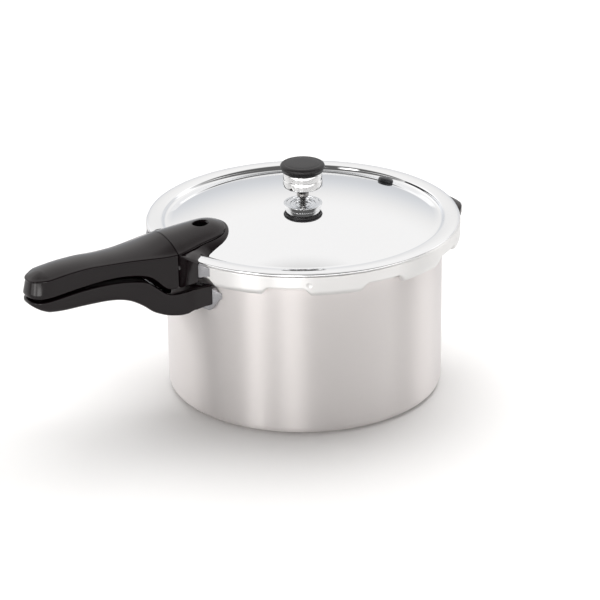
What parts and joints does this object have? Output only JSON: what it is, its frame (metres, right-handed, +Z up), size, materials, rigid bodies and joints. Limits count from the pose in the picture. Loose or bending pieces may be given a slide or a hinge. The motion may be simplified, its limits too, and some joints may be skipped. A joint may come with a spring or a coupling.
{
  "type": "pressure cooker",
  "caption": "Round polished-metal stove-top pressure cooker with a domed bayonet lid, black long twin handles, a helper handle and a weight-type pressure regulator.",
  "frame": {"origin": "centre of the pot's base on the surface it stands on", "axes": "+Z up along the pot's axis; the long handles point along -X and the helper handle along +X"},
  "size_m": [0.4505, 0.2896, 0.2144],
  "materials": {
    "pot_metal": "satin, brushed round the wall",
    "lid_metal": "mirror polish on top, satin on the skirt",
    "bracket_steel": "satin",
    "rivet_metal": "satin",
    "screw_steel": "bright zinc",
    "handle_phenolic": "moulded black, soft gloss",
    "cap_plastic": "moulded black, matt",
    "regulator_chrome": "chrome plate",
    "fitting_metal": "turned",
    "seal_rubber": "matt",
    "plug_rubber": "smooth, slightly shiny"
  },
  "bodies": {
    "pot": {"pot_body": "pot_metal", "locking_bracket": "bracket_steel", "locking_bracket_rivet": "rivet_metal", "body_handle": "handle_phenolic", "body_handle_bracket": "bracket_steel", "body_handle_rivets": "rivet_metal", "body_handle_screws": "screw_steel", "helper_handle": "handle_phenolic", "helper_handle_bracket": "bracket_steel", "helper_handle_rivets": "rivet_metal", "helper_handle_screw": "screw_steel"},
    "rack": {"cooking_rack": "pot_metal"},
    "seal": {"sealing_ring": "seal_rubber"},
    "lid": {"cover": "lid_metal", "cover_handle_grip": "handle_phenolic", "cover_handle_nose": "handle_phenolic", "cover_handle_bracket": "bracket_steel", "cover_handle_rivets": "rivet_metal", "cover_handle_screws": "screw_steel", "vent_pipe": "fitting_metal", "vent_pipe_nut": "fitting_metal", "overpressure_plug": "plug_rubber", "air_vent_gasket": "seal_rubber"},
    "air_vent": {"air_vent_pin": "fitting_metal"},
    "regulator": {"regulator_weight": "regulator_chrome", "regulator_cap": "cap_plastic"}
  },
  "joints": [
    {"name": "lid_lift", "type": "slide", "parent": "pot", "child": "seal", "axis": [0, 0, 1], "range_m": [0, 0.15]},
    {"name": "lid_turn", "type": "hinge", "parent": "seal", "child": "lid", "pos_m": [0, 0, 0.15], "axis": [0, 0, -1], "range_deg": [0, 18]},
    {"name": "air_vent_rise", "type": "slide", "parent": "lid", "child": "air_vent", "axis": [0, 0, 1], "range_m": [0, 0.0035]},
    {"name": "regulator_lift", "type": "slide", "parent": "lid", "child": "regulator", "axis": [0, 0, 1], "range_m": [0, 0.04]},
    {"name": "rack_lift", "type": "slide", "parent": "pot", "child": "rack", "axis": [0, 0, 1], "range_m": [0, 0.11]}
  ]
}
